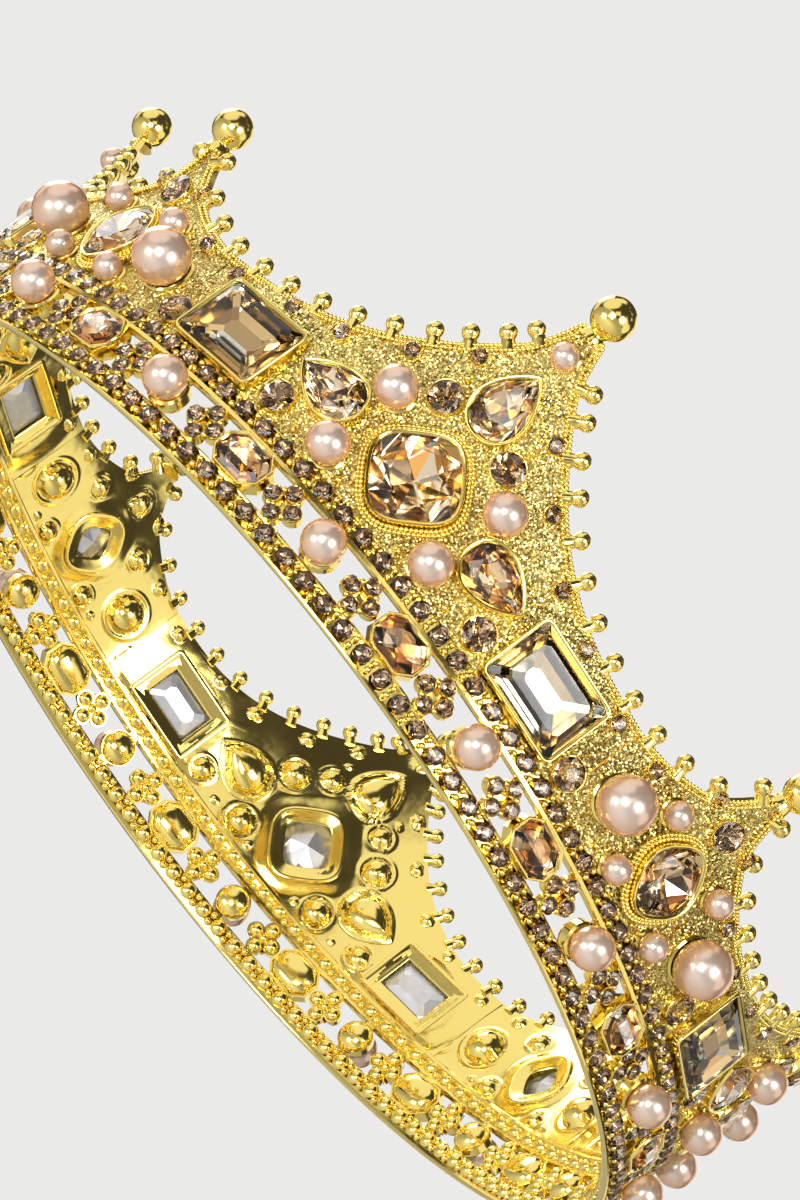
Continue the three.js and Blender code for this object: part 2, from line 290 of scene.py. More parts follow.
def sweep(profile, start, end, columns):
    """A closed profile of (out, z) points swept along the wall, with flat ends."""
    corners, faces = [], []
    n = len(profile)
    for i in range(columns + 1):
        a = angle_at(start + (end - start) * i / columns)
        for out, z in profile:
            corners.append(((wall_r + out) * math.cos(a), (wall_r + out) * math.sin(a), z))
    for i in range(columns):
        for j in range(n):
            k = (j + 1) % n
            faces.append((i * n + j, (i + 1) * n + j, (i + 1) * n + k, i * n + k))
    faces.append(tuple(range(n)))
    faces.append(tuple(columns * n + j for j in reversed(range(n))))
    return corners, faces


def mottle(new, link, scale):
    """Fine noise over a surface."""
    where, noise = new("ShaderNodeTexCoord"), new("ShaderNodeTexNoise")
    preset(noise, {"Scale": scale})
    wire(link, (where, "Object", noise, "Vector"))
    return noise.outputs["Fac"]


grain_size = 0.21
# How much darker the pits between the grains are painted: painted shade.
painted_pit_shade = (0.45, 0.42, 0.4, 1)


def gold(name, rough, grain=0, colour=(0.95, 0.75, 0.22, 1)):
    """Gold plating with the soft ripples of the casting; grain tips each facet of a stippled face and
    paints shade into the pits between the facets.
    """
    made, shader, new, link = new_finish(name)
    preset(shader, {"Base Color": colour, "Metallic": 1})
    ripple, soft = mottle(new, link, 260), new("ShaderNodeBump")
    preset(soft, {"Strength": 0.25, "Distance": 0.3 * MM})
    link(ripple, soft.inputs["Height"])
    link(spread(new, link, ripple, (0.3, 0.7), (rough * 0.7, rough * 1.3)), shader.inputs["Roughness"])
    normal = soft.outputs["Normal"]
    if grain:
        where, cells = new("ShaderNodeTexCoord"), new("ShaderNodeTexVoronoi")
        preset(cells, {"Scale": 1 / (grain_size * MM)})
        tip, amount, total, unit = (new("ShaderNodeVectorMath") for _ in range(4))
        tip.operation, amount.operation, unit.operation = "SUBTRACT", "SCALE", "NORMALIZE"
        preset(tip, {1: (0.5, 0.5, 0.5)})
        preset(amount, {"Scale": grain})
        link(normal, total.inputs[1])
        wire(link, (where, "Object", cells, "Vector"), (cells, "Color", tip, 0), (tip, "Vector", amount, 0),
             (amount, "Vector", total, 0), (total, "Vector", unit, 0))
        normal = unit.outputs["Vector"]
        # Painted shade: the colour darkens from each grain's top towards the pits round it.
        painted_light_tint = new("ShaderNodeMix")
        painted_light_tint.data_type = "RGBA"
        preset(painted_light_tint, {"A": colour, "B": tuple(part * shade for part, shade in zip(colour, painted_pit_shade))})
        link(spread(new, link, cells.outputs["Distance"], (0.35, 0.75)), painted_light_tint.inputs["Factor"])
        link(painted_light_tint.outputs["Result"], shader.inputs["Base Color"])
    link(normal, shader.inputs["Normal"])
    return made


polished = gold("polished_gold", 0.13)
grained = gold("grained_gold", 0.26, 1.2, colour=(0.97, 0.79, 0.27, 1))

low_rail = [
    (-0.6, 0.3), (-0.45, 0.05), (-0.1, 0.0), (0.42, 0.0), (0.62, 0.12), (0.67, 0.36), (0.56, 0.55),
    (0.4, 0.56), (-0.1, 0.62), (-0.1, 3.05), (0.5, 3.06), (0.6, 3.25), (0.45, 3.5), (-0.5, 3.5),
    (-0.6, 3.3),
]
high_rail = [
    (-1.15, 9.65), (-0.8, 9.4), (0.4, 9.4), (0.66, 9.5), (0.72, 10.0), (0.6, 10.14), (-0.1, 10.2),
    (-0.1, 12.2), (0.5, 12.22), (0.42, band_top), (-2.0, band_top), (-2.2, band_top - 0.2),
    (-2.2, band_top - 0.6), (-2.0, band_top - 0.8), (-1.3, band_top - 0.95), (-1.15, 11.0),
]
half_seam = 0.05  # of the soldered gap between two quarters
band_start, band_end = half_seam - pitch / 2, quarter - half_seam - pitch / 2
band = Workpiece()
for rail in (low_rail, high_rail):
    band.add(sweep(rail, band_start, band_end, 128))

# ---- Cups of the openwork ----
# Between the rails each quarter carries 4 pearl cups, 4 octagon collars and 8 clusters of four
# small collars, cast with the rails. Their backs show inside the crown as polished domes.
gallery_mid = 6.45


def outset(outline, distance):
    """The outline moved outwards along its own corners' bisectors."""
    p = np.asarray(outline, float)
    before, after = p - np.roll(p, 1, 0), np.roll(p, -1, 0) - p
    normals = []
    for edge in (before, after):
        edge = edge / np.linalg.norm(edge, axis=1, keepdims=True)
        normals.append(np.stack([edge[:, 1], -edge[:, 0]], 1))
    bisector = normals[0] + normals[1]
    bisector /= np.linalg.norm(bisector, axis=1, keepdims=True)
    reach = 1 / np.maximum(0.5, (bisector * normals[0]).sum(1, keepdims=True))
    return p + bisector * reach * distance


def round_outline(r, steps=24):
    turns = [i * 2 * math.pi / steps for i in range(steps)]
    return [(r * math.cos(t), r * math.sin(t)) for t in turns]


def cut_outline(width, height, cut):
    x, y = width / 2, height / 2
    return [
        (x, -y + cut), (x, y - cut), (x - cut, y), (-x + cut, y),
        (-x, y - cut), (-x, -y + cut), (-x + cut, -y), (x - cut, -y),
    ]


def collar(outline, profile):
    """A ring round an outline: the profile is a closed list of (outset, height) points."""
    rings = [[(x, y, h) for x, y in outset(outline, d)] for d, h in profile]
    n, m = len(outline), len(profile)
    faces = []
    for i in range(m):
        k = (i + 1) % m
        for j in range(n):
            beside = (j + 1) % n
            faces.append((i * n + j, i * n + beside, k * n + beside, k * n + j))
    return [c for ring in rings for c in ring], faces


def dome(outline, foot, height, steps=5, flat=0.0):
    """A closed dome on an outline, standing from the foot; a negative height bulges inwards."""
    n = len(outline)
    corners = []
    for i in range(steps):
        t = i / steps * math.pi / 2
        shrink = flat + (1 - flat) * math.cos(t)
        corners += [(x * shrink, y * shrink, foot + height * math.sin(t)) for x, y in outline]
    corners += [(0, 0, foot + height), (0, 0, foot)]
    faces = []
    for j in range(n):
        k = (j + 1) % n
        faces += [(i * n + j, i * n + k, (i + 1) * n + k, (i + 1) * n + j) for i in range(steps - 1)]
        faces += [((steps - 1) * n + j, (steps - 1) * n + k, steps * n), (k, j, steps * n + 1)]
    if height < 0:
        faces = [face[::-1] for face in faces]
    return corners, faces


def bezel_profile(top, foot=-0.6, wall=0.45):
    """Outer wall, rounded lip that folds over the stone's rim, and the inner wall."""
    return [
        (wall + 0.12, foot), (wall, top - 0.45), (wall - 0.02, top - 0.14), (wall - 0.13, top),
        (wall - 0.27, top), (-0.02, top - 0.12), (-0.14, top - 0.26), (0.02, top - 0.42), (0.02, foot),
    ]


pearl_r = 2.95
cup_lip = [(0.6, -1.0), (0.55, 0.3), (0.25, 0.55), (-0.2, 0.5), (-0.2, -1.0)]
octagon_w, octagon_h, octagon_corner = 7.6, 5.4, 1.5
octagon = cut_outline(octagon_w, octagon_h, octagon_corner)
octagon_lip = 1.5
cluster_reach = 1.86  # from a cluster's middle to the middle of a lobe
cluster_stone_r = 1.2
cluster_lip = 0.6
peg_reach = 2.9  # from the middle of the band to a peg


def pearl_cup(spot):
    band.add(dome(round_outline(2.75), -0.9, -1.9), spot)
    band.add(collar(round_outline(2.2), cup_lip), spot)


def octagon_collar(spot):
    band.add(collar(octagon, bezel_profile(octagon_lip, -0.9, 0.35)), spot)
    band.add(dome(outset(octagon, 0.1), -0.8, -1.7, 5, 0.35), spot)


def on_lobe(spot, lobe):
    return spot @ quarter_turn(lobe) @ Matrix.Translation((cluster_reach, 0, 0))


def cluster(spot):
    """Four small collars round a middle boss, with a bead between each two."""
    inside = round_outline(cluster_stone_r - 0.15, 16)
    for lobe in range(4):
        here = on_lobe(spot, lobe)
        band.add(collar(inside, bezel_profile(cluster_lip, -0.8, 0.22)), here)
        band.add(dome(round_outline(1.2, 14), -0.7, -1.0, 4), here)
        between = spot @ quarter_turn(lobe + 0.5)
        band.add(dome(round_outline(0.5, 8), 0.3, 0.6, 3), between @ Matrix.Translation((1.85, 0, 0)))
    band.add(dome(round_outline(0.8, 12), -0.7, -0.8, 3), spot)


motifs = (pearl_cup, cluster, octagon_collar, cluster)
peg = dome(cut_outline(1.6, 1.2, 0.2), -1.0, 1.3, 3, 0.7)
for i in range(motifs_per_quarter):
    motifs[i % 4](on_wall(i * pitch, gallery_mid))
    # Pegs join each motif to both rails.
    for side in (-1, 1):
        band.add(peg, on_wall(i * pitch, gallery_mid + side * peg_reach))
rail_stones_per_quarter = 32
rail_pitch = (band_end - band_start) / rail_stones_per_quarter
rail_stones = [band_start + (i + 0.5) * rail_pitch for i in range(rail_stones_per_quarter)]
low_row, high_row = 2.0, 11.28
rail_back = dome(round_outline(1.35, 12), -1.0, -1.0, 4)
rail_peg = dome(round_outline(0.62, 8), -1.0, -0.7, 3)
for row in (low_row, high_row):
    for along in rail_stones:
        band.add(rail_back, on_wall(along, row))
        for side in (-1, 1):
            band.add(rail_peg, on_wall(along + pitch / 4, row + side * 0.7))
show_quarters("band_quarter", band.mesh("band_quarter", [polished]), "gold", "gallery_band")

# ---- Point plates ----
# Tall and low plates are cast one by one and soldered on the band's top. The front is stippled,
# the back is polished and shows a dome behind every pearl and stone, and windows in raised frames
# behind the large stones.
valley = 26.3  # height of the edge between two points
tall = {"axis": 0, "rise": 22.5, "reach": 40, "fall": 2.43, "neck_rise": 8, "neck_reach": 5,
        "top": 49.4, "limit": 42.35, "lean": 0.0079}
low = {"axis": quarter / 2, "rise": 8.1, "reach": 20, "fall": 2, "neck_rise": 6.5, "neck_reach": 6,
       "top": 37.7, "limit": quarter / 2 - 42.45, "lean": 0.012}
points_of_crown = {"tall": tall, "low": low}
plate_thick = 1.1


def edge_height(away, point):
    """The scalloped edge: it falls from a point's top to the valleys, faster at the neck."""
    away = np.abs(away)
    sweep_up = point["rise"] * np.maximum(0, 1 - away / point["reach"]) ** point["fall"]
    neck = point["neck_rise"] * np.maximum(0, 1 - away / point["neck_reach"]) ** 2
    return np.minimum(point["top"], valley + sweep_up + neck)


def on_plate(kind, away, z, turn=0, out=0):
    """A frame on a plate, by the distance from its axis and the height."""
    point = points_of_crown[kind]
    return on_wall(point["axis"] + away, z, turn, out, point["lean"])


def cushion_outline(half, power=3.2, stretch=1.0, steps=48):
    """A rounded square with bowed sides, standing on one corner."""
    points = []
    for i in range(steps):
        t = i * 2 * math.pi / steps
        c, s = math.cos(t + math.pi / 4), math.sin(t + math.pi / 4)
        r = half / (abs(c) ** power + abs(s) ** power) ** (1 / power)
        points.append((r * math.cos(t), r * math.sin(t) * stretch))
    return points


def pear_outline(width, length, steps=48):
    """Point up, round end down, about the middle of its length."""
    points = []
    for i in range(steps):
        t = i * 2 * math.pi / steps
        points.append((-math.sin(t) * math.sin(t / 2) ** 0.75, math.cos(t)))
    widest = max(x for x, _ in points)
    return [(x * width / 2 / widest, y * length / 2) for x, y in points]


def rectangle_outline(width, height, corner=0.7, steps=4):
    points = []
    for side, (sx, sy) in enumerate([(1, 1), (-1, 1), (-1, -1), (1, -1)]):
        for i in range(steps + 1):
            t = (side + i / steps) * math.pi / 2
            points.append((
                sx * (width / 2 - corner) + corner * math.cos(t),
                sy * (height / 2 - corner) + corner * math.sin(t),
            ))
    return points


def large_stone(node, plate, away, z, outline, turn=0, window=False, beaded=False):
    """A stone and its place: how far along from its plate's axis, and how high."""
    return {"node": node, "plate": plate, "away": away, "z": z, "outline": outline, "turn": turn,
            "window": window, "beaded": beaded}


lip = 1.9  # height of a large stone's collar over the wall
pear = pear_outline(7.3, 10.2)
step_w, step_h = 14.0, 10.2
step = rectangle_outline(step_w, step_h)
cushion, small_cushion = cushion_outline(5.85, 3.45), cushion_outline(4.4, 2.7, 1.12)
large_stones = [
    large_stone("cushion_stone", "tall", 0, 21.3, cushion, window=True, beaded=True),
    large_stone("top_pear_stone", "tall", 0, 36.1, pear),
    large_stone("left_pear_stone", "tall", -15.9, 21.1, pear, math.pi / 2),
    large_stone("right_pear_stone", "tall", 15.9, 21.1, pear, -math.pi / 2),
    large_stone("left_step_stone", "tall", -30.3, 18.35, step, window=True),
    large_stone("right_step_stone", "tall", 30.3, 18.35, step, window=True),
    large_stone("small_cushion_stone", "low", 0, 20.0, small_cushion, window=True, beaded=True),
]
# Pearls and small stones on the plates: (distance from the axis, height, radius); each is mirrored
# on the other side of the axis unless it stands on it.
plate_pearls = {
    "tall": [(10.3, 27.05, 2.95), (9.7, 15.35, 2.95), (0, 45.25, 1.9)],
    "low": [(13.5, 18.9, 3.95), (7.3, 25.0, 2.0), (6.5, 14.25, 2.0)],
}
plate_rounds = {
    "tall": [(6.0, 31.3, 2.35), (19.9, 15.5, 2.35)],
    "low": [(0, 29.9, 2.3), (20.2, 15.3, 2.3)],
}
plate_chips = {
    "tall": [(7.3, 37.8, 1.2), (13.6, 32.3, 1.2), (21.8, 27.7, 1.2), (29.4, 25.9, 1.2), (39.5, 24.4, 1.2)],
    "low": [(5.0, 30.9, 1.2), (13.4, 25.6, 1.2)],
}
plate_studs = {
    "tall": [(5.9, 13.9, 0.6), (14.8, 14.1, 0.6), (6.2, 34.9, 0.6), (22.9, 14.0, 0.6)],
    "low": [(10.0, 13.9, 0.6)],
}


def mirrored(places):
    return [(side * d, z, r) for d, z, r in places for side in ((1, -1) if d else (1,))]


def stones_on(kind):
    return [stone for stone in large_stones if stone["plate"] == kind]


def outline_reach(x, y, outline, turn):
    """How far each point lies from a stone's middle, as a share of the outline's own reach there."""
    c, s = math.cos(-turn), math.sin(-turn)
    u, v = x * c - y * s, x * s + y * c
    p = np.array(outline)
    around = np.arctan2(p[:, 1], p[:, 0])
    order = np.argsort(around)
    full_reach = np.hypot(p[:, 0], p[:, 1])[order]
    reach = np.interp(np.arctan2(v, u), around[order], full_reach, period=2 * math.pi)
    return np.hypot(u, v) / reach, reach


def swell(share, width):
    """A smooth hill: 1 inside, falling to 0 over the given width."""
    t = np.clip((1 + width - share) / width, 0, 1)
    return t * t * (3 - 2 * t)


def hill(near):
    """A round hill: 1 in the middle, falling to 0 where near is 1."""
    return np.sqrt(np.clip(1 - near**2, 0, 1))


def ridge(away):
    """A fine soft line, by the distance from its middle."""
    return np.exp(-((away / 0.35) ** 2))


window_share = 0.74  # of a stone's reach, cut out of the plate behind it
stone_swell, pearl_swell = 0.5, 0.35  # how far the front rises round a setting
pear_dome, pear_ridge, pearl_ridge = 1.9, 0.55, 0.16  # heights on the back


def relief(kind, x, z):
    """How far a plate's back and front swell at each place, and where it is cut out."""
    inward, outward, sunk = (np.zeros_like(x) for _ in range(3))
    cut_out = np.zeros(x.shape, bool)
    for stone in stones_on(kind):
        near, reach = outline_reach(x - stone["away"], z - stone["z"], stone["outline"], stone["turn"])
        if stone["window"]:
            cut_out |= near < window_share
            inward += 0.35 * swell(near, 0.5)
        else:
            inward = np.maximum(inward, pear_dome * hill(near / 0.8))
            inward += pear_ridge * ridge((near - 0.98) * reach)
            sunk = np.where(near < 0.95, np.maximum(sunk, 0.9 + 0.9 * (1 - near)), sunk)
        outward = np.maximum(outward, stone_swell * swell(near, 0.35))
    for places, rise, pocket in ((plate_pearls, 1.0, 0), (plate_rounds, 0.85, 1.0)):
        for d, height, r in mirrored(places[kind]):
            near = np.hypot(x - d, z - height) / (r * 0.74)
            sunk = np.where(near < 1.2, np.maximum(sunk, pocket), sunk)
            inward = np.maximum(inward, rise * r * 0.62 * hill(near))
            inward += pearl_ridge * ridge((near - 1.3) * r)
            outward = np.maximum(outward, pearl_swell * swell(near, 0.7))
    for places, pocket in ((plate_chips, 0.6), (plate_studs, 0)):
        for d, height, r in mirrored(places[kind]):
            near = np.hypot(x - d, z - height) / (r * 0.85)
            inward = np.maximum(inward, r * 0.7 * hill(near))
            sunk = np.where(near < 1.05, np.maximum(sunk, pocket), sunk)
    return inward, np.where(sunk > 0, -sunk, outward), cut_out


def plate_mesh(kind, columns, rows):
    """A front and a back sheet of corners with the windows left out, joined round every rim."""
    point = points_of_crown[kind]
    away = np.linspace(-point["limit"], point["limit"], columns)
    share = np.linspace(0, 1, rows)[:, None]
    bottom = band_top + 0.1
    z = bottom + (edge_height(away, point)[None, :] - bottom) * share
    x = np.repeat(away[None, :], rows, 0)
    inward, outward, cut_out = relief(kind, x, z)
    # The relief dies away towards the foot and the edge.
    ramp = np.clip((z - bottom) / 1.0, 0, 1) * np.clip((edge_height(x, point) - z) / 0.8, 0, 1)
    plate = Workpiece()
    angle = angle_at(point["axis"] + x)
    tilt = 2 * point["lean"] * np.maximum(0, z - lean_start)
    steep = np.hypot(1, tilt)
    for offset in (outward * ramp, -plate_thick - inward * ramp):
        radius = wall_radius(z, point["lean"]) + offset / steep
        height = z - offset * tilt / steep
        corners = np.stack([radius * np.cos(angle), radius * np.sin(angle), height], -1).reshape(-1, 3)
        plate.corners.extend(map(tuple, corners))

    def face(ids, slot):
        plate.faces.append(ids)
        plate.slots.append(slot)

    front_slot, back_slot = 0, 1
    n = rows * columns
    whole = ~(cut_out[:-1, :-1] | cut_out[1:, :-1] | cut_out[:-1, 1:] | cut_out[1:, 1:])
    rim = {}
    for j, i in zip(*np.nonzero(whole)):
        a = j * columns + i
        quad = (a, a + 1, a + columns + 1, a + columns)
        face(quad, front_slot)
        face(tuple(n + k for k in quad[::-1]), back_slot)
        for k in range(4):
            ends = (quad[k], quad[(k + 1) % 4])
            if ends[::-1] in rim:
                del rim[ends[::-1]]
            else:
                rim[ends] = True
    for a, b in rim:
        face((a, n + a, n + b, b), back_slot)
    made = plate.mesh(f"{kind}_plate", [grained, polished], 50)
    # The corners left where the windows are belong to no face.
    work = bmesh.new()
    work.from_mesh(made)
    bmesh.ops.delete(work, geom=[v for v in work.verts if not v.link_faces], context="VERTS")
    work.to_mesh(made)
    work.free()
    return made


show_quarters("tall_plate", plate_mesh("tall", 230, 96), "gold", "major_plate")
show_quarters("low_plate", plate_mesh("low", 110, 70), "gold", "minor_plate")

# ---- Collars and window frames ----
# Each large stone sits in a polished collar whose lip is folded over its rim. Behind the cushions
# and step cuts a raised frame runs round the window that shows the stone's back.
window_frame = [(d, h - plate_thick) for d, h in (
    (0.4, 0.3), (0.34, -0.45), (0.2, -0.7), (-0.1, -0.8), (-0.45, -0.75), (-0.8, -0.6),
    (-1.75, -0.36), (-2.05, -0.28), (-2.2, -0.15), (-2.05, 0.1), (-0.6, 0.3),
)][::-1]
pearl_lip = [(0.5, -0.4), (0.42, 0.55), (0.15, 0.75), (-0.15, 0.6), (-0.15, -0.4)]
for kind in points_of_crown:
    collars = Workpiece()
    for stone in stones_on(kind):
        spot = on_plate(kind, stone["away"], stone["z"], stone["turn"])
        collars.add(collar(stone["outline"], bezel_profile(lip, -1.0)), spot)
        if stone["window"]:
            collars.add(collar(stone["outline"], window_frame), spot)
    for places, lip_height, wall in ((plate_rounds, 0.75, 0.3), (plate_chips, 0.4, 0.25)):
        for d, z, r in mirrored(places[kind]):
            ring = collar(round_outline(r - 0.15, 20), bezel_profile(lip_height, -0.7, wall))
            collars.add(ring, on_plate(kind, d, z))
    for d, z, r in mirrored(plate_pearls[kind]):
        collars.add(collar(round_outline(r * 0.78, 24), pearl_lip), on_plate(kind, d, z))
    for d, z, r in mirrored(plate_studs[kind]):
        collars.add(dome(round_outline(r, 12), 0.0, r * 1.3, 4), on_plate(kind, d, z))
    show_quarters(f"{kind}_collars", collars.mesh(f"{kind}_collars", [polished]), "gold")

# ---- Rope edge and milgrain ----
# A rope of fine beads follows the scalloped edge, and two rows of them ring each cushion. They are
# cast in one with the plates.


def socket(tree, name, kind, way="INPUT", value=None):
    made = tree.interface.new_socket(name, in_out=way, socket_type=kind)
    if value is not None:
        made.default_value = value


def bead_row_tree():
    """Beads at an even pitch along a path."""
    tree = bpy.data.node_groups.new("bead_row", "GeometryNodeTree")
    socket(tree, "Path", "NodeSocketGeometry")
    socket(tree, "Pitch", "NodeSocketFloat", value=0.0009)
    socket(tree, "Bead Radius", "NodeSocketFloat", value=0.0004)
    socket(tree, "Finish", "NodeSocketMaterial")
    socket(tree, "Beads", "NodeSocketGeometry", "OUTPUT")
    new = tree.nodes.new
    given, result = new("NodeGroupInput"), new("NodeGroupOutput")
    curve, even = new("GeometryNodeMeshToCurve"), new("GeometryNodeResampleCurve")
    even.mode = "LENGTH"
    ball, copies = new("GeometryNodeMeshUVSphere"), new("GeometryNodeInstanceOnPoints")
    preset(ball, {"Segments": 8, "Rings": 5})
    real, finish = new("GeometryNodeRealizeInstances"), new("GeometryNodeSetMaterial")
    smooth = new("GeometryNodeSetShadeSmooth")
    wire(
        tree.links.new, (given, "Path", curve, "Mesh"), (curve, "Curve", even, "Curve"),
        (given, "Pitch", even, "Length"), (given, "Bead Radius", ball, "Radius"),
        (even, "Curve", copies, "Points"),
        (ball, "Mesh", copies, "Instance"), (copies, "Instances", smooth, "Geometry"),
        (smooth, "Geometry", real, "Geometry"), (real, "Geometry", finish, "Geometry"),
        (given, "Finish", finish, "Material"), (finish, "Geometry", result, "Beads"),
    )
    return tree


def grown(mesh, tree, values):
    """The plain mesh that a node tree makes of a mesh, with values for its named inputs."""
    work = bpy.data.objects.new("work", mesh)
    bpy.context.scene.collection.objects.link(work)
    modifier = work.modifiers.new("tree", "NODES")
    modifier.node_group = tree
    for item in tree.interface.items_tree:
        if item.name in values:
            modifier[item.identifier] = values[item.name]
    graph = bpy.context.evaluated_depsgraph_get()
    made = bpy.data.meshes.new_from_object(work.evaluated_get(graph))
    bpy.data.objects.remove(work)
    return made


def path_mesh(paths):
    """One mesh of open or closed paths: each is (corners in mm, closed)."""
    corners, edges = [], []
    for path, closed in paths:
        start = len(corners)
        corners += [tuple(c) for c in path]
        edges += [(start + i, start + i + 1) for i in range(len(path) - 1)]
        if closed:
            edges.append((start + len(path) - 1, start))
    made = bpy.data.meshes.new("path")
    made.from_pydata((np.array(corners) * MM).tolist(), edges, [])
    return made


bead_row = bead_row_tree()


def bead_rows(paths, row_pitch, radius):
    values = {"Pitch": row_pitch * MM, "Bead Radius": radius * MM, "Finish": polished}
    return grown(path_mesh(paths), bead_row, values)


def edge_path(point, drop, out):
    """Points along the scalloped edge, a little inside it and in front of the wall."""
    away = np.linspace(-point["limit"] + 0.3, point["limit"] - 0.3, 400)
    z = edge_height(away, point)
    slope = np.gradient(z, away)
    steep = np.hypot(1, slope)
    away, z = away + drop * slope / steep, z - drop / steep
    return [on_wall(point["axis"] + d, h, 0, out, point["lean"]).translation for d, h in zip(away, z)]


rope_paths = []
for point in (tall, low):
    for drop, out in ((0.1, 0.0), (0.75, 0.2)):
        rope_paths.append((edge_path(point, drop, out), False))
show_quarters("rope_edge", bead_rows(rope_paths, 0.58, 0.31), "gold")

milgrain_paths = []
for stone in large_stones:
    if stone["beaded"]:
        spot = on_plate(stone["plate"], stone["away"], stone["z"], stone["turn"])
        for away, height in ((0.85, 0.75), (1.3, 0.5)):
            ring = [(x, y, height) for x, y in outset(stone["outline"], away)]
            milgrain_paths.append((placed(ring, spot), True))
show_quarters("milgrain", bead_rows(milgrain_paths, 0.62, 0.34), "gold")

# ---- Beads on posts ----
# Small balls on short posts stand off the scalloped edge, about 5 mm apart. They are cast in one
# with the plates and polished.


def setting_tree():
    """Copies of a shape at the points of a mesh, each turned and sized by the point's own values."""
    tree = bpy.data.node_groups.new("set_in_place", "GeometryNodeTree")
    socket(tree, "Places", "NodeSocketGeometry")
    socket(tree, "Shape", "NodeSocketObject")
    socket(tree, "Front", "NodeSocketMaterial")
    socket(tree, "Back", "NodeSocketMaterial")
    socket(tree, "Set", "NodeSocketGeometry", "OUTPUT")
    new = tree.nodes.new
    given, result = new("NodeGroupInput"), new("NodeGroupOutput")
    shape, copies = new("GeometryNodeObjectInfo"), new("GeometryNodeInstanceOnPoints")
    facing, size, foiled = (new("GeometryNodeInputNamedAttribute") for _ in range(3))
    facing.data_type, size.data_type, foiled.data_type = "FLOAT_VECTOR", "FLOAT", "BOOLEAN"
    for node, name in ((facing, "facing"), (size, "size"), (foiled, "foiled")):
        preset(node, {"Name": name})
    turn = new("FunctionNodeEulerToRotation")
    real = new("GeometryNodeRealizeInstances")
    front, back = new("GeometryNodeSetMaterial"), new("GeometryNodeSetMaterial")
    wire(
        tree.links.new, (given, "Shape", shape, "Object"), (given, "Places", copies, "Points"),
        (shape, "Geometry", copies, "Instance"), (facing, "Attribute", turn, "Euler"),
        (turn, "Rotation", copies, "Rotation"), (size, "Attribute", copies, "Scale"),
        (copies, "Instances", real, "Geometry"), (real, "Geometry", front, "Geometry"),
        (given, "Front", front, "Material"), (front, "Geometry", back, "Geometry"),
        (foiled, "Attribute", back, "Selection"), (given, "Back", back, "Material"),
        (back, "Geometry", result, "Set"),
    )
    return tree


setting = setting_tree()


def set_all(shape_mesh, places, front, back=None):
    """Sets a shape at each (frame, size): frames in mm."""
    points = bpy.data.meshes.new("places")
    points.from_pydata([tuple(m.translation * MM) for m, _ in places], [], [])
    facing = points.attributes.new("facing", "FLOAT_VECTOR", "POINT")
    facing.data.foreach_set("vector", [v for m, _ in places for v in m.to_euler()])
    size = points.attributes.new("size", "FLOAT", "POINT")
    size.data.foreach_set("value", [s for _, s in places])
    shape = bpy.data.objects.new("shape", shape_mesh)
    bpy.context.scene.collection.objects.link(shape)
    made = grown(points, setting, {"Shape": shape, "Front": front, "Back": back or front})
    bpy.data.objects.remove(shape)
    return made


def all_round(places):
    """The places of one quarter, and the same in the other three."""
    return [(quarter_turn(q) @ m, s) for q in range(4) for m, s in places]


def lathe(profile, steps):
    """A turned shape about z from (radius, height) points that start and end on the axis."""
    inner = profile[1:-1]
    corners = [(0, 0, profile[0][1])]
    for r, h in inner:
        corners += [(x, y, h) for x, y in round_outline(r, steps)]
    corners.append((0, 0, profile[-1][1]))
    faces, end = [], len(corners) - 1
    for i in range(steps):
        k = (i + 1) % steps
        faces.append((0, 1 + k, 1 + i))
        for j in range(len(inner) - 1):
            a, b = 1 + j * steps, 1 + (j + 1) * steps
            faces.append((a + i, a + k, b + k, b + i))
        top = 1 + (len(inner) - 1) * steps
        faces.append((top + i, top + k, end))
    return corners, faces


def ball_profile(r, centre, start, steps):
    """Points of a ball from the angle start, measured from its equator, up to its pole."""
    turns = [start + (math.pi / 2 - start) * i / steps for i in range(steps + 1)]
    return [(r * math.cos(t) if i < steps else 0, centre + r * math.sin(t)) for i, t in enumerate(turns)]


stand_up = Matrix.Rotation(-math.pi / 2, 4, "X")  # turns a lathed shape's axis up the wall
post_bead = Workpiece()
bead_r, bead_centre = 1.22, 1.62
post = [(0, -0.7), (1.1, -0.7), (0.98, 0.2), (0.86, 0.72)]
post_bead.add(lathe(post + ball_profile(bead_r, bead_centre, -0.78, 8), 16))
bead_away = {
    "tall": (3.9, 6.2, 9.5, 13.0, 17.4, 22.1, 27.3, 32.8, 38.3),
    "low": (2.0, 5.7, 11.1, 16.8),
}
bead_places = []
for kind, point in points_of_crown.items():
    for d in bead_away[kind]:
        z = float(edge_height(d, point))
        slope = float(edge_height(d + 0.05, point) - edge_height(d - 0.05, point)) / 0.1
        for side in (-1, 1):
            spot = on_plate(kind, side * d, z, side * math.atan(slope), -plate_thick / 2)
            bead_places.append((spot @ stand_up, 1))
show("post_beads", set_all(post_bead.mesh("post_bead", [], 60), all_round(bead_places), polished), "gold")

# ---- Ball finials ----
# A polished gold-plated ball on a short foot is soldered on each point's neck, a little larger on
# the tall points.
foot = [(0, -0.7), (1.8, -0.7), (1.65, -0.1), (1.35, 0.35)]
for kind, node, r in (("tall", "major_finial", 3.0), ("low", "minor_finial", 2.8)):
    finial = Workpiece()
    neck = on_plate(kind, 0, points_of_crown[kind]["top"], 0, -plate_thick / 2)
    finial.add(lathe(foot + ball_profile(r, r + 0.1, -1.05, 14), 32), neck @ stand_up)
    show_quarters(f"{kind}_finial", finial.mesh(f"{kind}_finial", [polished], 60), "gold", node)

